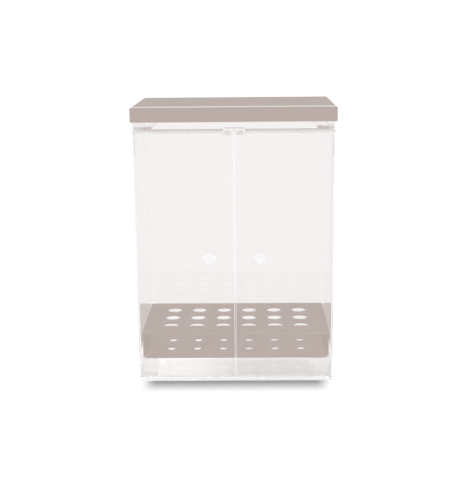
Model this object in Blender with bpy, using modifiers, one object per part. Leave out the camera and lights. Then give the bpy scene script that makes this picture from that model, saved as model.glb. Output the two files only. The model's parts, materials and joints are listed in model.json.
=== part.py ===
"""Clear two-door cabinet cage with a lift-off lid and a perforated rack that holds queen cells upright.

Metres, +Z up. The origin is the centre of the base's underside, and the doors face -Y.
"""

import math

import bmesh
import bpy
from mathutils import Matrix, Vector

# Overall size
LID_WIDTH = 0.1500
LID_DEPTH = 0.0978
LID_HEIGHT = 0.0105
TOTAL_HEIGHT = 0.2084

# Sheets and clearances
GAP = 0.0003
WALL = 0.0012
LEAF_SHEET = 0.0024
BASE_SHEET = 0.0030
FRAME_SHEET = 0.0015
LID_SHELL = 0.00125
RACK_SHEET = 0.0008

# Heights of the levels
FRAME_UNDERSIDE = 0.1899
RACK_TOP = 0.0374
RACK_TRAY_FLOOR = 0.0184

# Top frame and the catch in its notch
FRAME_SIDE_STRIP = 0.0103
FRAME_FRONT_STRIP = 0.0143
FRAME_REAR_STRIP = 0.0103
CATCH_NOTCH_WIDTH = 0.0160
CATCH_BLOCK_DROP = 0.0020
CATCH_BLOCK_RISE = 0.0016
CATCH_BLOCK_DEPTH = 0.0060
MAGNET_RADIUS = 0.0012
MAGNET_OFFSET = 0.0048
LEAF_MAGNET_THICKNESS = 0.0010
CATCH_MAGNET_THICKNESS = 0.0020

# Doors
LEAF_MEETING_GAP = 0.0006
PIN_RADIUS = 0.0005
UPPER_PIN_GRIP = 0.0156
LOWER_PIN_GRIP = 0.0086
BASE_PIN_HOLE_DEPTH = 0.0025
KNOB_OFFSET = 0.0188
KNOB_HEIGHT = 0.0984
KNOB_RADIUS = 0.0049
KNOB_LENGTH = 0.0080
KNOB_RIM_RADIUS = 0.0014
KNOB_DOME = 0.0006
KNOB_NECK_RADIUS = 0.0026
KNOB_STEM_RADIUS = 0.0015

# Rack
RACK_DEPTH = 0.0794
RACK_FLANGE = 0.0058
RACK_TOP_BEND = 0.0013
RACK_TRAY_BEND = 0.0034
HOLE_PITCH = 0.0203
HOLE_COLUMNS = 6
HOLE_ROWS = 3
HOLES_SETBACK = 0.0010
CELL_HOLE_RADIUS = 0.0057
TIP_HOLE_RADIUS = 0.0029
TRAY_SETBACK = 0.0024
RIVET_RADIUS = 0.0010
RIVET_HEAD_RADIUS = 0.0019
RIVET_HEAD_THICKNESS = 0.0007
RIVET_SPREAD = 0.0520
RIVET_DEPTH_BELOW_TOP = 0.0034

# Supports
SUPPORT_SIDE = 0.0120

# Edge rounding and facets
LID_EDGE = 0.0015
LID_CORNER = 0.0024
LID_INNER_CORNER = 0.0005
SHEET_EDGE = 0.00025
ROUNDED_ABOVE = math.radians(40)
SMOOTH_BELOW = math.radians(35)
WELD = 0.00001
EDGE_SEGMENTS = 2
LID_SEGMENTS = 4
HOLE_FACETS = 24
PIN_FACETS = 16
KNOB_FACETS = 28
LEAF_EDGE_FACETS = 10
BEND_FACETS = 5

# Planes that follow from the sizes above
BODY_HALF_WIDTH = LID_WIDTH / 2 - LID_SHELL - GAP
BODY_HALF_DEPTH = LID_DEPTH / 2 - LID_SHELL - GAP
INNER_HALF_WIDTH = BODY_HALF_WIDTH - WALL
FITTED_HALF_WIDTH = INNER_HALF_WIDTH - GAP
FRONT = -BODY_HALF_DEPTH
REAR = BODY_HALF_DEPTH
REAR_INNER = REAR - WALL
WALL_TOP = TOTAL_HEIGHT - LID_SHELL - GAP
WALL_BOTTOM = BASE_SHEET + GAP
FRAME_TOP = FRAME_UNDERSIDE + FRAME_SHEET
FRAME_INNER_FRONT = FRONT + FRAME_FRONT_STRIP
PIVOT_X = BODY_HALF_WIDTH - LEAF_SHEET / 2
PIVOT_Y = FRONT + LEAF_SHEET / 2
LEAF_REAR = FRONT + LEAF_SHEET
WALL_FRONT = LEAF_REAR + GAP
LEAF_BOTTOM = BASE_SHEET + GAP
LEAF_TOP = FRAME_UNDERSIDE - GAP
LEAF_TAB = CATCH_NOTCH_WIDTH / 2 - GAP
MAGNET_HEIGHT = FRAME_TOP - MAGNET_RADIUS - 2 * GAP
CATCH_FRONT = LEAF_REAR + LEAF_MAGNET_THICKNESS + 3 * GAP
RACK_FRONT = WALL_FRONT
RACK_REAR = RACK_FRONT + RACK_DEPTH
RACK_CENTRE_Y = (RACK_FRONT + RACK_REAR) / 2
TRAY_REAR = RACK_REAR - TRAY_SETBACK
TRAY_HALF_WIDTH = FITTED_HALF_WIDTH - RACK_SHEET - GAP
TRAY_UNDERSIDE = RACK_TRAY_FLOOR - RACK_SHEET
TRAY_RIM = RACK_TOP - RACK_SHEET - GAP

TAUPE = (0.50, 0.42, 0.385)
CLEAR = (0.93, 0.94, 0.94)
STEEL = (0.62, 0.62, 0.63)

STAND_UP = Matrix.Rotation(math.radians(90), 4, "X")
AXIS_TURNS = {
    "X": Matrix.Rotation(math.radians(90), 4, "Y"),
    "Y": Matrix.Rotation(math.radians(90), 4, "X"),
    "Z": Matrix.Identity(4),
}


def clear_scene():
    for old in list(bpy.data.objects):
        bpy.data.objects.remove(old, do_unlink=True)


def new_collection(name):
    collection = bpy.data.collections.new(name)
    bpy.context.scene.collection.children.link(collection)
    return collection


def principled(name, colour, roughness, metallic=0.0, transmission=0.0):
    material = bpy.data.materials.new(name)
    material.use_nodes = True
    shader = material.node_tree.nodes["Principled BSDF"]
    shader.inputs["Base Color"].default_value = (*colour, 1.0)
    shader.inputs["Roughness"].default_value = roughness
    shader.inputs["Metallic"].default_value = metallic
    shader.inputs["Transmission Weight"].default_value = transmission
    return material


def acrylic(name):
    return principled(name, CLEAR, 0.04, transmission=0.9)


def taupe_coat(name):
    return principled(name, TAUPE, 0.45)


def steel(name):
    return principled(name, STEEL, 0.25, metallic=1.0)


def add_object(name, mesh, collection, finish=None, location=(0, 0, 0)):
    piece = bpy.data.objects.new(name, mesh)
    piece.location = location
    collection.objects.link(piece)
    if finish:
        mesh.materials.append(finish(name + "_finish"))
    return piece


def round_edges(piece, width, segments=EDGE_SEGMENTS):
    bevel = piece.modifiers.new("rounded_edges", "BEVEL")
    bevel.width = width
    bevel.segments = segments
    bevel.limit_method = "ANGLE"
    bevel.angle_limit = ROUNDED_ABOVE


def shade_round(mesh):
    mesh.shade_smooth()
    mesh.set_sharp_from_angle(angle=SMOOTH_BELOW)


def mesh_from(shape, name):
    mesh = bpy.data.meshes.new(name)
    shape.to_mesh(mesh)
    shape.free()
    return mesh


def evaluated_mesh(holder):
    """The mesh of a temporary object with its modifiers applied, after which the object is removed."""
    bpy.context.scene.collection.objects.link(holder)
    bpy.context.view_layer.update()
    evaluated = holder.evaluated_get(bpy.context.evaluated_depsgraph_get())
    mesh = bpy.data.meshes.new_from_object(evaluated)
    bpy.data.objects.remove(holder, do_unlink=True)
    return mesh


def box_shape(size, centre=(0, 0, 0)):
    shape = bmesh.new()
    placed = Matrix.Translation(centre) @ Matrix.Diagonal((*size, 1.0))
    bmesh.ops.create_cube(shape, size=1.0, matrix=placed)
    return shape


def add_box(name, low, high, collection, finish):
    low = Vector(low)
    high = Vector(high)
    mesh = mesh_from(box_shape(high - low), name)
    return add_object(name, mesh, collection, finish, (low + high) / 2)


def round_uprights(shape, radius, segments):
    """Round the four upright edges of a box."""
    uprights = [edge for edge in shape.edges if abs(edge.verts[0].co.z - edge.verts[1].co.z) > WELD]
    bmesh.ops.bevel(shape, geom=uprights, offset=radius, offset_type="OFFSET", segments=segments,
                    profile=0.5, affect="EDGES", clamp_overlap=True)


def rods_mesh(name, rods, facets):
    """One mesh of separate closed rods, each given as (centre, axis letter, radius, length)."""
    shape = bmesh.new()
    for centre, axis, radius, length in rods:
        bmesh.ops.create_cone(shape, cap_ends=True, segments=facets, radius1=radius, radius2=radius,
                              depth=length, matrix=Matrix.Translation(centre) @ AXIS_TURNS[axis])
    mesh = mesh_from(shape, name)
    shade_round(mesh)
    return mesh


def add_rod(name, centre, axis, radius, length, facets, collection, finish):
    mesh = rods_mesh(name, [((0, 0, 0), axis, radius, length)], facets)
    return add_object(name, mesh, collection, finish, centre)


def arc(centre, radius, start_degrees, end_degrees, facets):
    points = []
    for i in range(facets + 1):
        angle = math.radians(start_degrees + (end_degrees - start_degrees) * i / facets)
        points.append((centre[0] + radius * math.cos(angle), centre[1] + radius * math.sin(angle)))
    return points


def circle(centre, radius, facets):
    return arc(centre, radius, 0, 360, facets)[:-1]


def sheet_mesh(name, loops, thickness, placed=Matrix.Identity(4)):
    """A flat sheet: loops[0] is its outline and the other loops are holes in it, centred on thickness."""
    curve = bpy.data.curves.new(name + "_outline", "CURVE")
    curve.dimensions = "2D"
    curve.fill_mode = "BOTH"
    curve.extrude = thickness / 2
    for loop in loops:
        spline = curve.splines.new("POLY")
        spline.points.add(len(loop) - 1)
        spline.use_cyclic_u = True
        for point, (x, y) in zip(spline.points, loop):
            point.co = (x, y, 0.0, 1.0)
    mesh = evaluated_mesh(bpy.data.objects.new(name + "_outline", curve))
    shape = bmesh.new()
    shape.from_mesh(mesh)
    bmesh.ops.remove_doubles(shape, verts=shape.verts, dist=WELD)
    bmesh.ops.dissolve_limit(shape, angle_limit=math.radians(1), verts=shape.verts, edges=shape.edges)
    bmesh.ops.recalc_face_normals(shape, faces=shape.faces)
    bmesh.ops.transform(shape, matrix=placed, verts=shape.verts)
    shape.to_mesh(mesh)
    shape.free()
    shade_round(mesh)
    mesh.name = name
    return mesh


def turned_mesh(name, profile, facets):
    """A solid turned about Z from (radius, height) points that run from the top to the bottom."""
    outline = bpy.data.meshes.new(name + "_profile")
    vertices = [(radius, 0.0, height) for radius, height in profile]
    edges = [(i, i + 1) for i in range(len(profile) - 1)]
    outline.from_pydata(vertices, edges, [])
    holder = bpy.data.objects.new(name + "_profile", outline)
    screw = holder.modifiers.new("turned", "SCREW")
    screw.axis = "Z"
    screw.steps = facets
    screw.render_steps = facets
    screw.use_merge_vertices = True
    screw.merge_threshold = WELD
    mesh = evaluated_mesh(holder)
    shade_round(mesh)
    mesh.name = name
    return mesh


def cut(piece, cutter_mesh, cutters):
    cutter = add_object(piece.name + "_cutter", cutter_mesh, cutters)
    cutter.display_type = "WIRE"
    cutter.hide_render = True
    boolean = piece.modifiers.new("cut", "BOOLEAN")
    boolean.operation = "DIFFERENCE"
    boolean.solver = "EXACT"
    boolean.object = cutter
    return cutter


def add_empty(name, location, collection):
    empty = bpy.data.objects.new(name, None)
    empty.location = location
    empty.empty_display_size = 0.01
    collection.objects.link(empty)
    return empty


def carry(empty, pieces):
    """Parent the pieces to the empty and leave them where they are."""
    for piece in pieces:
        piece.parent = empty
        piece.matrix_parent_inverse = Matrix.Translation(empty.location).inverted()


def make_cabinet(parts, cutters):
    """The base and the three fixed walls."""
    base = add_box("base_panel", (-BODY_HALF_WIDTH, FRONT, 0), (BODY_HALF_WIDTH, REAR, BASE_SHEET),
                   parts, acrylic)
    round_edges(base, SHEET_EDGE)
    holes = [((side * PIVOT_X, PIVOT_Y, BASE_SHEET), "Z", PIN_RADIUS + GAP, 2 * BASE_PIN_HOLE_DEPTH)
             for side in (-1, 1)]
    cut(base, rods_mesh("base_pin_holes", holes, PIN_FACETS), cutters)

    for name, side in (("left_wall", -1), ("right_wall", 1)):
        low_x, high_x = sorted((side * INNER_HALF_WIDTH, side * BODY_HALF_WIDTH))
        wall = add_box(name, (low_x, WALL_FRONT, WALL_BOTTOM), (high_x, REAR, WALL_TOP), parts, acrylic)
        round_edges(wall, SHEET_EDGE)

    rear = add_box("rear_wall", (-FITTED_HALF_WIDTH, REAR_INNER, WALL_BOTTOM),
                   (FITTED_HALF_WIDTH, REAR, WALL_TOP), parts, acrylic)
    round_edges(rear, SHEET_EDGE)


def make_top_frame(parts):
    """The collar that squares the walls and holds the upper door pins, and the strip above the doors."""
    notch = CATCH_NOTCH_WIDTH / 2
    opening = INNER_HALF_WIDTH - FRAME_SIDE_STRIP
    opening_rear = REAR_INNER - FRAME_REAR_STRIP
    right_half = [
        (notch, FRONT), (BODY_HALF_WIDTH, FRONT), (BODY_HALF_WIDTH, LEAF_REAR),
        (FITTED_HALF_WIDTH, LEAF_REAR), (FITTED_HALF_WIDTH, REAR_INNER - GAP),
    ]
    right_inside = [(opening, opening_rear), (opening, FRAME_INNER_FRONT), (notch, FRAME_INNER_FRONT)]
    left_half = [(-x, y) for x, y in reversed(right_half)]
    left_inside = [(-x, y) for x, y in reversed(right_inside)]
    pin_holes = [circle((side * PIVOT_X, PIVOT_Y), PIN_RADIUS + GAP, PIN_FACETS) for side in (-1, 1)]
    mesh = sheet_mesh("top_frame", [right_half + left_half + left_inside + right_inside] + pin_holes,
                      FRAME_SHEET)
    add_object("top_frame", mesh, parts, acrylic, (0, 0, FRAME_UNDERSIDE + FRAME_SHEET / 2))

    header = add_box("front_header", (-BODY_HALF_WIDTH, FRONT, FRAME_TOP + GAP),
                     (BODY_HALF_WIDTH, LEAF_REAR, WALL_TOP), parts, acrylic)
    round_edges(header, SHEET_EDGE)


def make_catch(parts, cutters):
    """The clear block in the frame's notch, with the two magnets that hold the leaves shut."""
    half = CATCH_NOTCH_WIDTH / 2 - GAP
    block = add_box("catch_block", (-half, CATCH_FRONT, FRAME_UNDERSIDE - CATCH_BLOCK_DROP),
                    (half, CATCH_FRONT + CATCH_BLOCK_DEPTH, FRAME_TOP + CATCH_BLOCK_RISE), parts, acrylic)
    round_edges(block, SHEET_EDGE)
    pocket_depth = CATCH_MAGNET_THICKNESS + GAP
    pockets = [((side * MAGNET_OFFSET, CATCH_FRONT, MAGNET_HEIGHT), "Y", MAGNET_RADIUS + GAP,
                2 * pocket_depth) for side in (-1, 1)]
    cut(block, rods_mesh("magnet_pockets", pockets, HOLE_FACETS), cutters)
    magnet_y = CATCH_FRONT + CATCH_MAGNET_THICKNESS / 2
    for name, side in (("left_catch_magnet", -1), ("right_catch_magnet", 1)):
        add_rod(name, (side * MAGNET_OFFSET, magnet_y, MAGNET_HEIGHT), "Y", MAGNET_RADIUS,
                CATCH_MAGNET_THICKNESS, HOLE_FACETS, parts, steel)


def knob_profile():
    """Stem, waisted neck and rounded head, from the front of the head to the end of the stem."""
    head_top = LEAF_SHEET + KNOB_LENGTH - KNOB_DOME
    rim_centre = (KNOB_RADIUS - KNOB_RIM_RADIUS, head_top - KNOB_RIM_RADIUS)
    dome = [(rim_centre[0] * i / 4, head_top + KNOB_DOME * math.cos(math.pi / 2 * i / 4)) for i in range(4)]
    rim = arc(rim_centre, KNOB_RIM_RADIUS, 90, -60, 8)
    waist_radius = (rim[-1][1] - LEAF_SHEET) / 2
    waist_centre = (KNOB_NECK_RADIUS + waist_radius, LEAF_SHEET + waist_radius)
    waist = arc(waist_centre, waist_radius, 125, 240, 8)
    stem = [(KNOB_STEM_RADIUS, LEAF_SHEET), (KNOB_STEM_RADIUS, 0.0), (0.0, 0.0)]
    return dome + rim + waist + [(waist[-1][0], LEAF_SHEET)] + stem


def make_door(side, name, parts, cutters):
    """One leaf with its knob, magnet and pins. side is -1 for the left leaf and 1 for the right.

    The outer edge is rounded about the hinge pins. A low tab at the free corner stands up into the
    frame's notch and carries the magnet.
    """
    free_edge = LEAF_MEETING_GAP / 2
    hinge_edge = arc((PIVOT_X, PIVOT_Y), LEAF_SHEET / 2, -90, 90, LEAF_EDGE_FACETS)
    outline = [(side * x, y) for x, y in [(free_edge, LEAF_REAR), (free_edge, FRONT)] + hinge_edge]
    height = FRAME_TOP - LEAF_BOTTOM
    leaf_mesh = sheet_mesh(name + "_door_leaf", [outline], height)
    leaf = add_object(name + "_door_leaf", leaf_mesh, parts, acrylic, (0, 0, LEAF_BOTTOM + height / 2))
    beside_tab = box_shape((LID_WIDTH, LID_WIDTH, 2 * (FRAME_TOP - LEAF_TOP)),
                           (side * (LEAF_TAB + LID_WIDTH / 2), 0, FRAME_TOP))
    tab_cutter = cut(leaf, mesh_from(beside_tab, name + "_beside_tab"), cutters)
    round_edges(leaf, SHEET_EDGE)

    pin_x = side * PIVOT_X
    hole = PIN_RADIUS + GAP
    rods = [
        ((pin_x, PIVOT_Y, LEAF_TOP), "Z", hole, 2 * (UPPER_PIN_GRIP + GAP)),
        ((pin_x, PIVOT_Y, LEAF_BOTTOM), "Z", hole, 2 * (LOWER_PIN_GRIP + GAP)),
        ((side * KNOB_OFFSET, LEAF_REAR, KNOB_HEIGHT), "Y", KNOB_STEM_RADIUS + GAP, 4 * LEAF_SHEET),
    ]
    leaf_cutter = cut(leaf, rods_mesh(name + "_leaf_holes", rods, PIN_FACETS), cutters)

    knob = add_object(name + "_knob", turned_mesh(name + "_knob", knob_profile(), KNOB_FACETS),
                      parts, acrylic, (side * KNOB_OFFSET, LEAF_REAR - GAP, KNOB_HEIGHT))
    knob.rotation_euler.x = math.radians(90)

    magnet_y = LEAF_REAR + GAP + LEAF_MAGNET_THICKNESS / 2
    magnet = add_rod(name + "_door_magnet", (side * MAGNET_OFFSET, magnet_y, MAGNET_HEIGHT), "Y",
                     MAGNET_RADIUS, LEAF_MAGNET_THICKNESS, HOLE_FACETS, parts, steel)

    pins = []
    for end, low, high in (("upper", LEAF_TOP - UPPER_PIN_GRIP, FRAME_TOP - GAP),
                           ("lower", BASE_SHEET - BASE_PIN_HOLE_DEPTH + GAP, LEAF_BOTTOM + LOWER_PIN_GRIP)):
        pins.append(add_rod(f"{name}_{end}_hinge_pin", (pin_x, PIVOT_Y, (low + high) / 2), "Z",
                            PIN_RADIUS, high - low, PIN_FACETS, parts, steel))

    hinge = add_empty(name + "_door_hinge", (pin_x, PIVOT_Y, LEAF_BOTTOM), parts)
    carry(hinge, [leaf, tab_cutter, leaf_cutter, knob, magnet] + pins)


def make_lid(parts, cutters):
    """A shallow cover, open below, whose skirt overlaps the tops of the walls."""
    shape = box_shape((LID_WIDTH, LID_DEPTH, LID_HEIGHT))
    round_uprights(shape, LID_CORNER, LID_SEGMENTS + 1)
    mesh = mesh_from(shape, "lid")
    shade_round(mesh)
    lid = add_object("lid", mesh, parts, taupe_coat, (0, 0, TOTAL_HEIGHT - LID_HEIGHT / 2))
    round_edges(lid, LID_EDGE, LID_SEGMENTS)

    inside = box_shape((LID_WIDTH - 2 * LID_SHELL, LID_DEPTH - 2 * LID_SHELL, 2 * LID_HEIGHT),
                       (0, 0, TOTAL_HEIGHT - LID_SHELL - LID_HEIGHT))
    round_uprights(inside, LID_INNER_CORNER, EDGE_SEGMENTS)
    hollow = cut(lid, mesh_from(inside, "lid_hollow"), cutters)
    carry(add_empty("lid_lift", (0, 0, WALL_TOP), parts), [lid, hollow])


def channel_section(half_width, web, tips, bend):
    """Section of a sheet whose outer face is at height web, with both ends bent over to the height tips."""
    up = 1 if tips > web else -1
    height = web + up * bend
    left = (-half_width + bend, height)
    right = (half_width - bend, height)
    inside = bend - RACK_SHEET
    return (
        [(-half_width, tips)]
        + arc(left, bend, -180 * up, -90 * up, BEND_FACETS)
        + arc(right, bend, -90 * up, 0, BEND_FACETS)
        + [(half_width, tips), (half_width - RACK_SHEET, tips)]
        + arc(right, inside, 0, -90 * up, BEND_FACETS)
        + arc(left, inside, -90 * up, -180 * up, BEND_FACETS)
        + [(-half_width + RACK_SHEET, tips)]
    )


def rack_hole_centres():
    for row in range(HOLE_ROWS):
        for column in range(HOLE_COLUMNS):
            yield ((column - (HOLE_COLUMNS - 1) / 2) * HOLE_PITCH,
                   RACK_CENTRE_Y + HOLES_SETBACK + (row - (HOLE_ROWS - 1) / 2) * HOLE_PITCH)


def make_rack(parts, cutters):
    """Two bent sheets, the holed plate over the holed tray, riveted together at the ends."""
    rivet_height = RACK_TOP - RIVET_DEPTH_BELOW_TOP
    rivet_ys = [RACK_CENTRE_Y + side * RIVET_SPREAD / 2 for side in (-1, 1)]
    end_holes = [((side * TRAY_HALF_WIDTH, y, rivet_height), "X", RIVET_RADIUS + GAP, 6 * RACK_SHEET)
                 for side in (-1, 1) for y in rivet_ys]
    sheets = (
        ("rack_upper_plate", RACK_REAR, FITTED_HALF_WIDTH, RACK_TOP, RACK_TOP - RACK_FLANGE, RACK_TOP_BEND,
         CELL_HOLE_RADIUS),
        ("rack_lower_tray", TRAY_REAR, TRAY_HALF_WIDTH, TRAY_UNDERSIDE, TRAY_RIM, RACK_TRAY_BEND,
         TIP_HOLE_RADIUS),
    )
    pieces = []
    for name, rear, half_width, web, tips, bend, hole_radius in sheets:
        section = channel_section(half_width, web, tips, bend)
        mesh = sheet_mesh(name, [section], rear - RACK_FRONT, STAND_UP)
        piece = add_object(name, mesh, parts, taupe_coat, (0, (RACK_FRONT + rear) / 2, 0))
        holes = [((x, y, web), "Z", hole_radius, 4 * RACK_SHEET) for x, y in rack_hole_centres()]
        pieces.append(cut(piece, rods_mesh(name + "_holes", holes, HOLE_FACETS), cutters))
        pieces.append(cut(piece, rods_mesh(name + "_rivet_holes", end_holes, PIN_FACETS), cutters))
        pieces.append(piece)

    shank = FITTED_HALF_WIDTH - (TRAY_HALF_WIDTH - RACK_SHEET - GAP)
    length = shank + RIVET_HEAD_THICKNESS
    profile = [
        (0.0, length), (RIVET_RADIUS, length), (RIVET_RADIUS, RIVET_HEAD_THICKNESS),
        (RIVET_HEAD_RADIUS, RIVET_HEAD_THICKNESS), (RIVET_HEAD_RADIUS, RIVET_HEAD_THICKNESS / 2),
        (RIVET_RADIUS, 0.0), (0.0, 0.0),
    ]
    rivet_mesh = turned_mesh("rack_rivet", profile, PIN_FACETS)
    rivet_mesh.materials.append(taupe_coat("rack_rivet_finish"))
    for column, side in (("left", -1), ("right", 1)):
        for row, y in zip(("front", "rear"), rivet_ys):
            inner_end = (side * (FITTED_HALF_WIDTH - length), y, rivet_height)
            rivet = add_object(f"rack_rivet_{row}_{column}", rivet_mesh, parts, None, inner_end)
            rivet.rotation_euler.y = side * math.radians(90)
            pieces.append(rivet)
    carry(add_empty("rack_lift", (0, RACK_CENTRE_Y, TRAY_UNDERSIDE), parts), pieces)


def make_supports(parts):
    """Four blocks on the base that carry the rack's corners."""
    for row, low_y in (("front", RACK_FRONT), ("rear", TRAY_REAR - SUPPORT_SIDE)):
        for column, side in (("left", -1), ("right", 1)):
            low_x, high_x = sorted((side * FITTED_HALF_WIDTH, side * (FITTED_HALF_WIDTH - SUPPORT_SIDE)))
            block = add_box(f"{row}_{column}_support", (low_x, low_y, WALL_BOTTOM),
                            (high_x, low_y + SUPPORT_SIDE, TRAY_UNDERSIDE - GAP), parts, acrylic)
            round_edges(block, SHEET_EDGE)


def main():
    clear_scene()
    parts = new_collection("queen_cage")
    cutters = new_collection("cutters")
    make_cabinet(parts, cutters)
    make_top_frame(parts)
    make_catch(parts, cutters)
    make_door(-1, "left", parts, cutters)
    make_door(1, "right", parts, cutters)
    make_lid(parts, cutters)
    make_rack(parts, cutters)
    make_supports(parts)


main()
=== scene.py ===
"""Finished look of the queen cage: clear two-door cabinet, taupe lift-off lid and taupe perforated rack."""

import json
import math

import bmesh
import bpy
from mathutils import Matrix, Vector


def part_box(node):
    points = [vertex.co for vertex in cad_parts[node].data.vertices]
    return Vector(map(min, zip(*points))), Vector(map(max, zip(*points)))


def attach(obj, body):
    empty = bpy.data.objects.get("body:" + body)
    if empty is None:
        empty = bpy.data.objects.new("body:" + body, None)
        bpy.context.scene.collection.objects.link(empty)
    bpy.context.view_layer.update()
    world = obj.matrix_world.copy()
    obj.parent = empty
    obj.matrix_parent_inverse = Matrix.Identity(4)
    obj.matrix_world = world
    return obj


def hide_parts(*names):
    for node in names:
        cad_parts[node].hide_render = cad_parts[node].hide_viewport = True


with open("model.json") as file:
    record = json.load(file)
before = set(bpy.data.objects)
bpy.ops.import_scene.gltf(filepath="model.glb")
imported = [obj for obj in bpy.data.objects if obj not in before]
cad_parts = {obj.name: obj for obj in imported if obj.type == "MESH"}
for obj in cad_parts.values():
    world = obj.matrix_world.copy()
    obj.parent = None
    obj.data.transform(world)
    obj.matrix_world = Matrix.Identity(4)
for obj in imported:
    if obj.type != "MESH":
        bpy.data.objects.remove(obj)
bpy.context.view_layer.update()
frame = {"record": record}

MM = 0.001
BODY_OF = {node: body for body, nodes in frame["record"]["behaviour"]["bodies"].items() for node in nodes}


# ---------------------------------------------------------------- materials

def add(tree, kind, inputs=None, **settings):
    """One shader node. Inputs are values, or sockets to link."""
    node = tree.nodes.new(kind)
    for key, value in settings.items():
        setattr(node, key, value)
    for key, value in (inputs or {}).items():
        if isinstance(value, bpy.types.NodeSocket):
            tree.links.new(value, node.inputs[key])
        else:
            node.inputs[key].default_value = value
    return node


def math_node(tree, operation, first, second=0.0):
    return add(tree, "ShaderNodeMath", {0: first, 1: second}, operation=operation).outputs[0]


def product(tree, first, *others):
    for other in others:
        first = math_node(tree, "MULTIPLY", first, other)
    return first


def mix_colour(tree, factor, first, second):
    node = add(tree, "ShaderNodeMix", {"Factor": factor}, data_type="RGBA")
    for socket, value in ((node.inputs[6], first), (node.inputs[7], second)):
        if isinstance(value, bpy.types.NodeSocket):
            tree.links.new(value, socket)
        else:
            socket.default_value = (*value, 1.0)
    return node.outputs[2]


def map_range(tree, value, from_low, from_high, to_low, to_high, smooth=False):
    return add(tree, "ShaderNodeMapRange", {"Value": value, "From Min": from_low, "From Max": from_high,
                                            "To Min": to_low, "To Max": to_high},
               interpolation_type="SMOOTHSTEP" if smooth else "LINEAR").outputs[0]


def noise(tree, place, scale, detail=2.0, roughness=0.5, distortion=0.0):
    return add(tree, "ShaderNodeTexNoise", {"Vector": place, "Scale": scale, "Detail": detail,
                                            "Roughness": roughness, "Distortion": distortion}).outputs[0]


def object_place(tree, stretch=None):
    place = add(tree, "ShaderNodeTexCoord").outputs["Object"]
    if stretch:
        place = add(tree, "ShaderNodeMapping", {"Vector": place, "Scale": stretch}).outputs[0]
    return place


def new_material(name):
    material = bpy.data.materials.new(name)
    material.use_nodes = True
    return material, material.node_tree, material.node_tree.nodes["Principled BSDF"]


def link(tree, shader, **sockets):
    for name, value in sockets.items():
        socket = shader.inputs[name.replace("_", " ")]
        if isinstance(value, bpy.types.NodeSocket):
            tree.links.new(value, socket)
        else:
            socket.default_value = value


def shade(colour, factor):
    return tuple(min(1.0, c * factor) for c in colour)


def let_past(tree, colour, rays):
    """The named kinds of ray pass straight through the surface, with the colour."""
    path = add(tree, "ShaderNodeLightPath")
    through = add(tree, "ShaderNodeBsdfTransparent", {"Color": colour})
    output = next(node for node in tree.nodes if node.type == "OUTPUT_MATERIAL")
    for name in rays:
        shown = output.inputs["Surface"].links[0].from_socket
        mixed = add(tree, "ShaderNodeMixShader", {0: path.outputs[name], 1: shown, 2: through.outputs[0]})
        tree.links.new(mixed.outputs[0], output.inputs["Surface"])


def clear_acrylic(name, tint, haze=0.02, transmission=1.0):
    """Clear cast sheet: faint clouding in the tint, fine wiping scratches and a slight waviness.

    Lamps and soft light pass straight through it to what is inside.
    """
    material, tree, shader = new_material(name)
    place = object_place(tree)
    cloud = noise(tree, place, 24.0, 3.0)
    low, high = shade(tint, 1.0 - CLOUDING), shade(tint, 1.0 + CLOUDING)
    scratches = noise(tree, object_place(tree, (900.0, 900.0, 60.0)), 1.0, 2.0, 0.6, 0.4)
    dust = noise(tree, place, 2600.0, 1.0)
    worn = map_range(tree, scratches, 0.62, 0.78, 0.0, 1.0)
    specks = map_range(tree, dust, 0.72, 0.80, 0.0, 1.0)
    marks = math_node(tree, "MAXIMUM", worn, specks)
    roughness = map_range(tree, marks, 0.0, 1.0, haze, haze + 0.05)
    wave = noise(tree, place, 34.0, 1.0)
    bump = add(tree, "ShaderNodeBump", {"Strength": 0.25, "Distance": 0.00003, "Height": wave})
    colour = mix_colour(tree, cloud, low, high)
    link(tree, shader, Base_Color=colour, Roughness=roughness, IOR=ACRYLIC_IOR,
         Transmission_Weight=transmission, Normal=bump.outputs[0])
    once = mix_colour(tree, 0.5, (1.0, 1.0, 1.0), colour)
    let_past(tree, once, ("Is Diffuse Ray", "Is Shadow Ray"))
    return material


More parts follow.
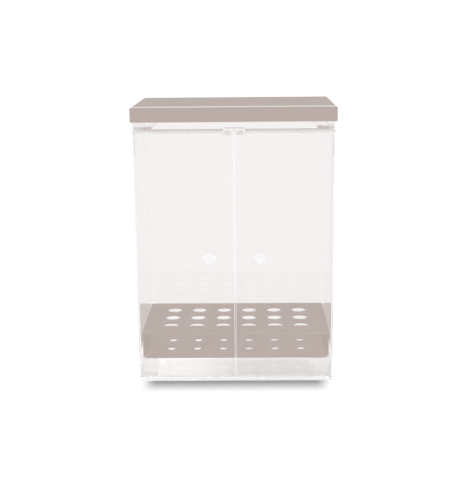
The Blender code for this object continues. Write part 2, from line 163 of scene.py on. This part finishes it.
def taupe_finish(name, colour, grain_scale, grain_depth, gloss, sheen, wear_and_highlight, polished_to=None):
    """Matte taupe with a fine grain, a slow drift of tone, and edges a little lighter: partly wear, partly a
    painted highlight.

    polished_to is how far back in Y the front rim is polished by the fingers that lift the cover, so that
    it glints at a low angle. Soft light gets past the taupe, as bounce cards would throw it under the lid
    and into the rack.
    """
    material, tree, shader = new_material(name)
    place = object_place(tree)
    drift = noise(tree, place, 16.0, 3.0)
    grain = noise(tree, place, grain_scale, 2.0, 0.55)
    speck = noise(tree, place, grain_scale * 0.45, 1.0)
    base = mix_colour(tree, drift, shade(colour, 1.0 - MOTTLING), shade(colour, 1.0 + MOTTLING))
    pepper = map_range(tree, speck, 0.35, 0.75, 0.975, 1.03)
    base = add(tree, "ShaderNodeVectorMath", {0: base, "Scale": pepper}, operation="SCALE").outputs[0]
    rounded = add(tree, "ShaderNodeBevel", {"Radius": EDGE_WEAR_AND_HIGHLIGHT_WIDTH}, samples=6).outputs[0]
    plain = add(tree, "ShaderNodeNewGeometry").outputs["Normal"]
    alike = add(tree, "ShaderNodeVectorMath", {0: rounded, 1: plain}, operation="DOT_PRODUCT")
    # Edges turned lighter: part wear, part painted highlight along the rims.
    edge = map_range(tree, alike.outputs["Value"], 0.995, 0.90, 0.0, wear_and_highlight)
    base = mix_colour(tree, edge, base, shade(colour, 1.45))
    roughness = map_range(tree, grain, 0.3, 0.7, gloss - 0.05, gloss + 0.06)
    if polished_to is not None:
        turned_up = add(tree, "ShaderNodeSeparateXYZ", {0: plain}).outputs[2]
        upward = map_range(tree, turned_up, 0.90, 0.97, 0.0, 1.0)
        depth = add(tree, "ShaderNodeSeparateXYZ", {0: place}).outputs[1]
        forward = map_range(tree, depth, polished_to, polished_to - POLISH_FADE, 0.0, 1.0, smooth=True)
        polish = product(tree, upward, forward)
        sheen = map_range(tree, polish, 0.0, 1.0, sheen, POLISHED_SHEEN)
        roughness = product(tree, roughness, map_range(tree, polish, 0.0, 1.0, 1.0, POLISHED_ROUGHNESS))
    bump = add(tree, "ShaderNodeBump", {"Strength": 0.35, "Distance": grain_depth, "Height": grain})
    link(tree, shader, Base_Color=base, Roughness=roughness, Normal=bump.outputs[0], Specular_IOR_Level=sheen)
    let_past(tree, (1.0, 1.0, 1.0, 1.0), ("Is Diffuse Ray",))
    return material


def bright_metal(name, colour, roughness, brush):
    """Drawn or plated metal. brush stretches the fine lines along one axis."""
    material, tree, shader = new_material(name)
    lines = noise(tree, object_place(tree, brush), 1.0, 3.0, 0.6)
    tarnish = noise(tree, object_place(tree), 420.0, 2.0)
    tone = mix_colour(tree, tarnish, shade(colour, 0.86), shade(colour, 1.08))
    rough = map_range(tree, lines, 0.3, 0.7, roughness * 0.7, roughness * 1.4)
    bump = add(tree, "ShaderNodeBump", {"Strength": 0.2, "Distance": 0.00001, "Height": lines})
    link(tree, shader, Base_Color=tone, Roughness=rough, Metallic=1.0, Normal=bump.outputs[0])
    return material


ACRYLIC_IOR = 1.49
CLOUDING = 0.012
CLEAR_TINT = (0.938, 0.924, 0.921)
BASE_TINT = (0.985, 0.976, 0.976)
EDGE_TINT = (0.985, 0.982, 0.980)
FRAME_EDGE_TINT = (0.86, 0.83, 0.81)
KNOB_TINT = (0.962, 0.955, 0.948)
TAUPE = (0.497, 0.418, 0.383)
MOTTLING = 0.035
EDGE_WEAR_AND_HIGHLIGHT_WIDTH = 0.9 * MM
POLISHED_SHEEN = 0.40
POLISHED_ROUGHNESS = 0.4
POLISH_DEPTH = 14.0 * MM
POLISH_FADE = 6.0 * MM

SHEET = clear_acrylic("clear_sheet", CLEAR_TINT)
BASE = clear_acrylic("clear_base_sheet", BASE_TINT)
EDGE = clear_acrylic("polished_sheet_edge", EDGE_TINT, haze=0.22, transmission=0.30)
BASE_EDGE = clear_acrylic("polished_base_edge", EDGE_TINT, haze=0.10, transmission=0.75)
FRAME_EDGE = clear_acrylic("sawn_frame_edge", FRAME_EDGE_TINT, haze=0.22, transmission=0.30)
HINGE_EDGE = clear_acrylic("rounded_hinge_edge", EDGE_TINT, haze=0.15, transmission=0.95)
MOULDED = clear_acrylic("clear_moulded", EDGE_TINT, haze=0.15, transmission=0.50)
KNOB = clear_acrylic("clear_frosted_knob", KNOB_TINT, haze=0.30, transmission=0.22)
LID_FINISH = taupe_finish("lid_matte_plastic", TAUPE, 1500.0, 0.00004, 0.46, 0.02, wear_and_highlight=0.10,
                          polished_to=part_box("lid")[0].y + POLISH_DEPTH)
# Rack taupe made 12% lighter than the lid's: painted light making up for the shade it sits in under the lid.
RACK_FINISH = taupe_finish("rack_powder_coat", shade(TAUPE, 1.12), 1100.0, 0.00005, 0.50, 0.06, wear_and_highlight=0.04)
STEEL = bright_metal("drawn_steel_pin", (0.90, 0.90, 0.91), 0.24, (3000.0, 3000.0, 60.0))
NICKEL = bright_metal("nickel_plate", (0.90, 0.885, 0.86), 0.16, (900.0, 900.0, 900.0))


# ---------------------------------------------------------------- shapes

def object_from(shape, name, materials):
    mesh = bpy.data.meshes.new(name)
    bmesh.ops.recalc_face_normals(shape, faces=shape.faces)
    shape.to_mesh(mesh)
    shape.free()
    for material in materials:
        mesh.materials.append(material)
    piece = bpy.data.objects.new(name, mesh)
    bpy.context.scene.collection.objects.link(piece)
    return piece


def applied(piece):
    """Replace the piece's mesh by the mesh its modifiers make."""
    bpy.context.view_layer.update()
    evaluated = piece.evaluated_get(bpy.context.evaluated_depsgraph_get())
    mesh = bpy.data.meshes.new_from_object(evaluated)
    piece.modifiers.clear()
    piece.data = mesh
    return piece


def subtract(piece, tool):
    """Cut the tool's shape out of the piece, and remove the tool."""
    boolean = piece.modifiers.new("cut", "BOOLEAN")
    boolean.operation = "DIFFERENCE"
    boolean.solver = "EXACT"
    boolean.object = tool
    applied(piece)
    bpy.data.objects.remove(tool, do_unlink=True)
    return piece


def cut_holes(piece, holes, segments=48):
    """Cut round holes, each given as (centre, axis, radius, length)."""
    cutter = bmesh.new()
    for centre, axis, radius, length in holes:
        turn = Vector((0, 0, 1)).rotation_difference(Vector(axis)).to_matrix().to_4x4()
        bmesh.ops.create_cone(cutter, cap_ends=True, segments=segments, radius1=radius, radius2=radius,
                              depth=length, matrix=Matrix.Translation(centre) @ turn)
    return subtract(piece, object_from(cutter, piece.name + "_tool", []))


def round_edges(piece, width, segments=3, angle=40.0, material=-1):
    bevel = piece.modifiers.new("rounding", "BEVEL")
    bevel.width = width
    bevel.segments = segments
    bevel.limit_method = "ANGLE"
    bevel.angle_limit = math.radians(angle)
    bevel.material = material
    bevel.use_clamp_overlap = True
    return applied(piece)


def smooth(piece, angle=40.0):
    """Round faces shade smoothly and the flat faces stay flat."""
    piece.data.shade_smooth()
    piece.data.set_sharp_from_angle(angle=math.radians(angle))
    weighted = piece.modifiers.new("flat_faces_first", "WEIGHTED_NORMAL")
    weighted.keep_sharp = True
    return applied(piece)


def box_shape(low, high):
    shape = bmesh.new()
    bmesh.ops.create_cube(shape, size=1.0, matrix=Matrix.Translation((low + high) / 2)
                          @ Matrix.Diagonal((*(high - low), 1.0)))
    return shape


def plain_box(name, low, high, materials):
    return object_from(box_shape(low, high), name, materials)


def block(name, low, high, materials, width, segments=3, thin=None):
    """A box with rounded edges. thin is the axis of a sheet's thickness: the other faces are its edges."""
    piece = plain_box(name, low, high, materials)
    if thin is not None:
        for face in piece.data.polygons:
            face.material_index = 0 if abs(face.normal[thin]) > 0.5 else 1
    return round_edges(piece, width, segments, material=-1 if thin is None else 1)


def arc(centre, radius, start, end, steps):
    return [(centre[0] + radius * math.cos(math.radians(start + (end - start) * i / steps)),
             centre[1] + radius * math.sin(math.radians(start + (end - start) * i / steps)))
            for i in range(steps + 1)]


def prism(name, outline, low_z, high_z, materials):
    """An outline in XY, drawn up from low_z to high_z."""
    shape = bmesh.new()
    face = shape.faces.new([shape.verts.new((x, y, low_z)) for x, y in outline])
    drawn = bmesh.ops.extrude_face_region(shape, geom=[face])
    top = [item for item in drawn["geom"] if isinstance(item, bmesh.types.BMVert)]
    bmesh.ops.translate(shape, verts=top, vec=(0, 0, high_z - low_z))
    return object_from(shape, name, materials)


def turned(name, profile, materials, place, segments=64):
    """A solid turned about its own Z, from (radius, height) points, then placed."""
    shape = bmesh.new()
    verts = [shape.verts.new((radius, 0.0, height)) for radius, height in profile]
    edges = [shape.edges.new(pair) for pair in zip(verts, verts[1:])]
    bmesh.ops.spin(shape, geom=verts + edges, cent=(0, 0, 0), axis=(0, 0, 1), angle=2 * math.pi,
                   steps=segments, use_merge=True, use_duplicate=False)
    bmesh.ops.remove_doubles(shape, verts=shape.verts, dist=1e-6)
    piece = object_from(shape, name, materials)
    piece.data.transform(place)
    return piece


def stands_for(piece, node):
    """The piece moves with the node's body and takes the node's place."""
    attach(piece, BODY_OF[node])
    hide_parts(node)


def along(axis, start):
    """Matrix that takes local Z to the axis, from the start point."""
    turn = Vector((0, 0, 1)).rotation_difference(Vector(axis)).to_matrix().to_4x4()
    return Matrix.Translation(start) @ turn


# ---------------------------------------------------------------- cabinet

GAP = 0.3 * MM
PIN_HOLE = 0.8 * MM
KNOB_STEM_HOLE = 1.8 * MM
SHEET_EDGE = 0.25 * MM
PLATE_EDGE = 0.3 * MM
CATCH_EDGE = 0.4 * MM
SUPPORT_EDGE = 0.6 * MM
FRAME_CORNER = 1.5 * MM
FRAME_SIDE_STRIP = 10.3 * MM
FRAME_FRONT_STRIP = 14.3 * MM
FRAME_REAR_STRIP = 10.0 * MM
leaf_low, leaf_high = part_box("left_door_leaf")
leaf_sheet = leaf_high.y - leaf_low.y
pivot_y = (leaf_high.y + leaf_low.y) / 2
pivot_x = -leaf_low.x - leaf_sheet / 2


def make_walls():
    for node, thin in (("left_wall", 0), ("right_wall", 0), ("rear_wall", 1), ("front_header", 1)):
        low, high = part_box(node)
        wall = block(node + "_sheet", low, high, [SHEET, EDGE], SHEET_EDGE, thin=thin)
        stands_for(smooth(wall), node)

    low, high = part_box("base_panel")
    base = block("base_panel_sheet", low, high, [BASE, BASE_EDGE], PLATE_EDGE, thin=2)
    holes = [(Vector((side * pivot_x, pivot_y, high.z)), (0, 0, 1), PIN_HOLE, 5.0 * MM) for side in (-1, 1)]
    cut_holes(base, holes)
    stands_for(smooth(base), "base_panel")

    for row in ("front", "rear"):
        for column in ("left", "right"):
            node = f"{row}_{column}_support"
            low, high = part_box(node)
            support = block(node + "_block", low, high, [MOULDED], SUPPORT_EDGE, 4)
            stands_for(smooth(support), node)


def make_top_frame():
    """C-shaped collar with rounded inside corners, and the catch block in its notch."""
    low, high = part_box("top_frame")
    block_low, block_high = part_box("catch_block")
    notch = block_high.x + GAP
    wall_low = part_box("right_wall")[0]
    fitted = wall_low.x - GAP
    opening = wall_low.x - FRAME_SIDE_STRIP
    inner_front = low.y + FRAME_FRONT_STRIP
    inner_rear = high.y - FRAME_REAR_STRIP
    step = wall_low.y - GAP
    corner = FRAME_CORNER
    right = [(notch, low.y), (high.x, low.y), (high.x, step), (fitted, step), (fitted, high.y)]
    inside = (arc((opening - corner, inner_rear - corner), corner, 90, 0, 6)
              + arc((opening - corner, inner_front + corner), corner, 0, -90, 6) + [(notch, inner_front)])
    left = [(-x, y) for x, y in reversed(right)]
    inside_left = [(-x, y) for x, y in reversed(inside)]
    outline = right + left + inside_left + inside
    collar = prism("top_frame_collar", outline, low.z, high.z, [SHEET, FRAME_EDGE])
    for face in collar.data.polygons:
        face.material_index = 0 if abs(face.normal.z) > 0.5 else 1
    holes = [(Vector((side * pivot_x, pivot_y, low.z)), (0, 0, 1), PIN_HOLE, 6.0 * MM) for side in (-1, 1)]
    cut_holes(collar, holes)
    round_edges(collar, SHEET_EDGE, 2, material=1)
    stands_for(smooth(collar), "top_frame")

    catch = block("catch_block_moulding", block_low, block_high, [MOULDED], CATCH_EDGE, 3)
    pockets = []
    for node in ("left_catch_magnet", "right_catch_magnet"):
        magnet_low, magnet_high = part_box(node)
        centre = (magnet_low + magnet_high) / 2
        centre.y = block_low.y
        radius = (magnet_high.z - magnet_low.z) / 2 + GAP
        pockets.append((centre, (0, 1, 0), radius, 2 * (magnet_high.y - magnet_low.y + GAP)))
    cut_holes(catch, pockets)
    stands_for(smooth(catch), "catch_block")


# ---------------------------------------------------------------- doors

def make_leaf(side, name):
    """Clear plate with a softened free edge, a low tab at its top and a half-round hinge edge."""
    low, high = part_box(name + "_door_leaf")
    free = min(abs(low.x), abs(high.x))
    corner = 0.6 * MM
    outline = (arc((free + corner, high.y - corner), corner, 90, 180, 5)
               + arc((free + corner, low.y + corner), corner, 180, 270, 5)
               + arc((pivot_x, pivot_y), leaf_sheet / 2, -90, 90, 24))
    leaf = prism(name + "_door_leaf_plate", [(side * x, y) for x, y in outline], low.z, high.z,
                 [SHEET, EDGE, HINGE_EDGE])
    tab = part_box("catch_block")[1].x
    plate_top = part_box("top_frame")[0].z - GAP
    ends = sorted((side * tab, side * 2 * pivot_x))
    spare = 1 * MM
    tool_low = Vector((ends[0], low.y - spare, plate_top))
    tool_high = Vector((ends[1], high.y + spare, high.z + spare))
    subtract(leaf, plain_box("beside_tab_tool", tool_low, tool_high, []))
    for face in leaf.data.polygons:
        near_free_edge = abs(face.center.x) < free + corner and abs(face.normal.y) < 0.98
        rounded = abs(face.center.x) > pivot_x and abs(face.normal.z) < 0.5
        face.material_index = 1 if near_free_edge or abs(face.normal.z) > 0.5 else 2 if rounded else 0
    round_edges(leaf, PLATE_EDGE, 3, 60.0, material=1)
    knob_low, knob_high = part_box(name + "_knob")
    knob_centre = (knob_low + knob_high) / 2
    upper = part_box(name + "_upper_hinge_pin")[0].z - GAP
    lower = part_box(name + "_lower_hinge_pin")[1].z + GAP
    pin_x = side * pivot_x
    cut_holes(leaf, [
        (Vector((pin_x, pivot_y, plate_top)), (0, 0, 1), PIN_HOLE, 2 * (plate_top - upper)),
        (Vector((pin_x, pivot_y, low.z)), (0, 0, 1), PIN_HOLE, 2 * (lower - low.z)),
        (Vector((knob_centre.x, low.y, knob_centre.z)), (0, 1, 0), KNOB_STEM_HOLE, 10.0 * MM),
    ])
    stands_for(smooth(leaf), name + "_door_leaf")


def make_knob(name):
    """Turned clear knob: stem through the leaf, waist, and a crowned head with a soft rim."""
    low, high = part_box(name + "_knob")
    centre = (low + high) / 2
    head = (high.x - low.x) / 2
    length = high.y - low.y
    rim, dome, neck, stem_radius = 1.4 * MM, 0.6 * MM, 2.6 * MM, 1.5 * MM
    rim_centre = (head - rim, length - dome - rim)
    crown = [(rim_centre[0] * i / 8, length - dome + dome * math.cos(math.pi / 2 * i / 8)) for i in range(8)]
    edge = arc(rim_centre, rim, 90, -60, 14)
    waist = (edge[-1][1] - leaf_sheet) / 2
    neck_curve = arc((neck + waist, leaf_sheet + waist), waist, 125, 240, 12)
    stem = [(neck_curve[-1][0], leaf_sheet), (stem_radius, leaf_sheet), (stem_radius, 0.2 * MM),
            (stem_radius - 0.2 * MM, 0.0), (0.0, 0.0)]
    knob = turned(name + "_knob_turned", crown + edge + neck_curve + stem, [KNOB],
                  along((0, -1, 0), Vector((centre.x, high.y, centre.z))))
    stands_for(smooth(knob), name + "_knob")


def chamfered_rod(radius, length, chamfer):
    """Half section of a rod, as (radius, height) points from the top down."""
    return [(0.0, length), (radius - chamfer, length), (radius, length - chamfer),
            (radius, chamfer), (radius - chamfer, 0.0), (0.0, 0.0)]


def make_rods():
    for side in ("left", "right"):
        for end in ("upper", "lower"):
            node = f"{side}_{end}_hinge_pin"
            low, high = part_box(node)
            start = Vector(((low.x + high.x) / 2, (low.y + high.y) / 2, low.z))
            profile = chamfered_rod((high.x - low.x) / 2, high.z - low.z, 0.15 * MM)
            pin = turned(node + "_wire", profile, [STEEL], along((0, 0, 1), start), 32)
            stands_for(smooth(pin, 30), node)
        for kind in ("catch", "door"):
            node = f"{side}_{kind}_magnet"
            low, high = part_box(node)
            start = Vector(((low.x + high.x) / 2, low.y, (low.z + high.z) / 2))
            profile = chamfered_rod((high.x - low.x) / 2, high.y - low.y, 0.15 * MM)
            magnet = turned(node + "_disc", profile, [NICKEL], along((0, 1, 0), start), 48)
            stands_for(smooth(magnet, 30), node)


# ---------------------------------------------------------------- lid

def round_over(shape, edges, radius):
    bmesh.ops.bevel(shape, geom=edges, offset=radius, offset_type="OFFSET", segments=8, profile=0.5,
                    affect="EDGES", clamp_overlap=True)


def make_lid():
    """Shallow cover with rounded top edges and corners, open below."""
    low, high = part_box("lid")
    shell, crown, corner = 1.25 * MM, 1.5 * MM, 2.2 * MM
    shape = box_shape(low, high)
    uprights = [edge for edge in shape.edges if abs(edge.verts[0].co.z - edge.verts[1].co.z) > crown]
    round_over(shape, uprights, corner)
    rim = [edge for edge in shape.edges if all(abs(vert.co.z - high.z) < 1e-6 for vert in edge.verts)]
    round_over(shape, rim, crown)
    lid = object_from(shape, "lid_cover", [LID_FINISH])

    inner_low = low + Vector((shell, shell, -shell))
    inner_high = high - Vector((shell, shell, shell))
    hollow = block("lid_hollow_tool", inner_low, inner_high, [], 0.5 * MM, 4)
    subtract(lid, hollow)
    round_edges(lid, SHEET_EDGE, 2, 60.0)
    stands_for(smooth(lid), "lid")


# ---------------------------------------------------------------- rack

RACK_SHEET = 0.8 * MM
RACK_EDGE = 0.14 * MM
PLATE_BEND = 1.3 * MM
TRAY_BEND = 3.4 * MM
HOLE_ROWS = 3
HOLE_COLUMNS = 6
HOLE_PITCH = 20.3 * MM
HOLES_SETBACK = 1.0 * MM
CELL_HOLE = 5.7 * MM
TIP_HOLE = 2.9 * MM
RIVET_HOLE = 1.3 * MM


def channel(low, high, web_at_top, bend):
    """Section in X and Z of a sheet with both ends bent, one way round."""
    up = -1 if web_at_top else 1
    web, tips = (high.z, low.z) if web_at_top else (low.z, high.z)
    half = high.x
    height = web + up * bend
    left, right = (-half + bend, height), (half - bend, height)
    inside = bend - RACK_SHEET
    return ([(-half, tips)] + arc(left, bend, -180 * up, -90 * up, 8) + arc(right, bend, -90 * up, 0, 8)
            + [(half, tips), (half - RACK_SHEET, tips)] + arc(right, inside, 0, -90 * up, 8)
            + arc(left, inside, -90 * up, -180 * up, 8) + [(-half + RACK_SHEET, tips)])


def make_rack():
    """Plate with large holes, tray with small ones below them, both bent down or up and riveted together."""
    centre_y = sum(corner.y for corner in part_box("rack_upper_plate")) / 2 + HOLES_SETBACK
    first_x = -(HOLE_COLUMNS - 1) / 2 * HOLE_PITCH
    first_y = centre_y - (HOLE_ROWS - 1) / 2 * HOLE_PITCH
    places = [(first_x + column * HOLE_PITCH, first_y + row * HOLE_PITCH)
              for row in range(HOLE_ROWS) for column in range(HOLE_COLUMNS)]
    rivets = []
    for row in ("front", "rear"):
        for column in ("left", "right"):
            low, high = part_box(f"rack_rivet_{row}_{column}")
            rivets.append((f"rack_rivet_{row}_{column}", low, high))
    stand_up = Matrix.Rotation(math.radians(90), 4, "X")
    for node, web_at_top, bend, radius in (("rack_upper_plate", True, PLATE_BEND, CELL_HOLE),
                                           ("rack_lower_tray", False, TRAY_BEND, TIP_HOLE)):
        low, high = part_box(node)
        sheet = prism(node + "_sheet", channel(low, high, web_at_top, bend), -high.y, -low.y, [RACK_FINISH])
        sheet.data.transform(stand_up)
        web = high.z if web_at_top else low.z
        holes = [(Vector((x, y, web)), (0, 0, 1), radius, 5 * MM) for x, y in places]
        cut_holes(sheet, holes, 56)
        ends = []
        for _, rivet_low, rivet_high in rivets:
            middle = (rivet_low + rivet_high) / 2
            middle.x = math.copysign(high.x, middle.x)
            ends.append((middle, (1, 0, 0), RIVET_HOLE, 6 * RACK_SHEET))
        cut_holes(sheet, ends, 32)
        round_edges(sheet, RACK_EDGE, 2, 50.0)
        stands_for(smooth(sheet, 50), node)

    for node, low, high in rivets:
        outward = 1 if low.x > 0 else -1
        inner = low.x if outward > 0 else high.x
        start = Vector((inner, (low.y + high.y) / 2, (low.z + high.z) / 2))
        length, head = high.x - low.x, (high.z - low.z) / 2
        shank, thick, chamfer = 1.0 * MM, 0.7 * MM, 0.1 * MM
        angles = [math.radians(angle) for angle in range(0, 90, 15)]
        dome = [(head * math.cos(angle), thick * (1 - math.sin(angle))) for angle in angles] + [(0.0, 0.0)]
        profile = [(0.0, length), (shank - chamfer, length), (shank, length - chamfer), (shank, thick)] + dome
        rivet = turned(node + "_domed", profile, [RACK_FINISH], along((outward, 0, 0), start), 32)
        stands_for(smooth(rivet), node)


# ---------------------------------------------------------------- studio

TABLE_BRIGHTNESS = 1.04
TABLE_SOFT_SHARE = 0.12
SHADOW_DEPTH = 0.735
SHADOW_REACH = 26.5 * MM
SHADOW_END_FADE = 13.0 * MM
UNDER_BASE_PAINTED_LIGHT_AND_SHADE = (1.14, 0.88)
EYE_LEVEL_LIGHT = 1.03
OVERHEAD_LIGHT = 0.88
SOFTBOX_WATTS = 0.1
EYE = (0.012015, -0.726675, 0.266655)
YAW, PITCH, ROLL = 0.0146, -0.2258, -0.0091
SENSOR_MM, LENS_MM = 36.0, 70.56
CLEAR_EDGE_BOUNCES = 72


def make_floor():
    """Plain white table, with the cabinet's contact shadow painted along the foot of its front.

    Under the clear base the table is painted paler to the left and greyer to the right: painted light and
    shade.
    """
    base_low, base_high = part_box("base_panel")
    bpy.ops.mesh.primitive_plane_add(size=16.0, location=(0, 0, -0.05 * MM))
    floor = bpy.context.active_object
    floor.name = "studio_table"
    material, tree, shader = new_material("white_table")
    position = add(tree, "ShaderNodeSeparateXYZ",
                   {0: add(tree, "ShaderNodeNewGeometry").outputs["Position"]})
    x, y = position.outputs[0], position.outputs[1]
    edge = base_high.x
    across = math_node(tree, "ABSOLUTE", x)
    front = math_node(tree, "SUBTRACT", base_low.y, y)
    # Painted contact shadow on the table in front of the base.
    near = map_range(tree, front, -3.0 * MM, SHADOW_REACH, SHADOW_DEPTH, 0.0, smooth=True)
    ahead = map_range(tree, front, -1.0 * MM, 0.5 * MM, 0.0, 1.0)
    between = map_range(tree, across, edge - SHADOW_END_FADE, edge, 1.0, 0.0, smooth=True)
    shadow = product(tree, near, ahead, between)
    mottle = map_range(tree, noise(tree, object_place(tree), 60.0, 2.0), 0.0, 1.0, 0.995, 1.0)
    open_table = product(tree, math_node(tree, "SUBTRACT", 1.0, shadow), mottle)

    # Painted pool of light to the left and painted shade to the right, on the table under the base.
    painted_light_and_shade_under_base = map_range(tree, x, -38.0 * MM, 12.0 * MM, *UNDER_BASE_PAINTED_LIGHT_AND_SHADE, smooth=True)
    underneath = math_node(tree, "LESS_THAN", front, 0.0)
    before_rear = math_node(tree, "LESS_THAN", y, base_high.y)
    beside = math_node(tree, "LESS_THAN", across, edge)
    covered = product(tree, underneath, before_rear, beside)
    lit = product(tree, open_table, map_range(tree, covered, 0.0, 1.0, 1.0, painted_light_and_shade_under_base))

    shown = add(tree, "ShaderNodeCombineColor", {0: lit, 1: lit, 2: lit}).outputs[0]
    reflected = add(tree, "ShaderNodeVectorMath", {0: shown, "Scale": TABLE_SOFT_SHARE},
                    operation="SCALE").outputs[0]
    link(tree, shader, Base_Color=reflected, Roughness=0.9, Specular_IOR_Level=0.0,
         Emission_Color=shown, Emission_Strength=TABLE_BRIGHTNESS - TABLE_SOFT_SHARE)
    floor.data.materials.append(material)


def make_world():
    """White room, a little darker overhead than at eye level."""
    world = bpy.data.worlds.new("soft_white_studio")
    bpy.context.scene.world = world
    world.use_nodes = True
    tree = world.node_tree
    background = tree.nodes["Background"]
    direction = add(tree, "ShaderNodeSeparateXYZ",
                    {0: add(tree, "ShaderNodeTexCoord").outputs["Generated"]}).outputs[2]
    level = map_range(tree, direction, 0.15, 0.95, EYE_LEVEL_LIGHT, OVERHEAD_LIGHT, smooth=True)
    background.inputs["Color"].default_value = (1.0, 1.0, 1.0, 1.0)
    tree.links.new(level, background.inputs["Strength"])
    world.cycles.sampling_method = "NONE"


def add_softbox(name, place, target, size, power):
    light = bpy.data.lights.new(name, "AREA")
    light.shape = "RECTANGLE"
    light.size, light.size_y = size
    light.energy = power
    lamp = bpy.data.objects.new(name, light)
    lamp.location = place
    lamp.rotation_euler = (Vector(target) - Vector(place)).to_track_quat("-Z", "Y").to_euler()
    bpy.context.scene.collection.objects.link(lamp)


def make_camera():
    """Eye a little above the lid, tipped down thirteen degrees."""
    data = bpy.data.cameras.new("studio_camera")
    data.sensor_width = SENSOR_MM
    data.lens = LENS_MM
    data.clip_start, data.clip_end = 0.01, 60.0
    camera = bpy.data.objects.new("studio_camera", data)
    bpy.context.scene.collection.objects.link(camera)
    camera.matrix_world = (Matrix.Translation(EYE) @ Matrix.Rotation(YAW, 4, "Z")
                           @ Matrix.Rotation(math.pi / 2 + PITCH, 4, "X") @ Matrix.Rotation(ROLL, 4, "Z"))
    bpy.context.scene.camera = camera


def make_studio():
    make_floor()
    make_world()
    add_softbox("overhead_softbox", (0.0, 0.05, 0.95), (0, 0, 0.1), (0.9, 0.12), SOFTBOX_WATTS)
    make_camera()
    scene = bpy.context.scene
    scene.view_settings.view_transform = "Standard"
    scene.view_settings.look = "None"
    for limit in ("max_bounces", "transmission_bounces", "glossy_bounces", "transparent_max_bounces"):
        setattr(scene.cycles, limit, CLEAR_EDGE_BOUNCES)
    scene.cycles.caustics_reflective = False
    scene.cycles.caustics_refractive = False


make_walls()
make_top_frame()
for side, name in ((-1, "left"), (1, "right")):
    make_leaf(side, name)
    make_knob(name)
make_rods()
make_lid()
make_rack()
make_studio()
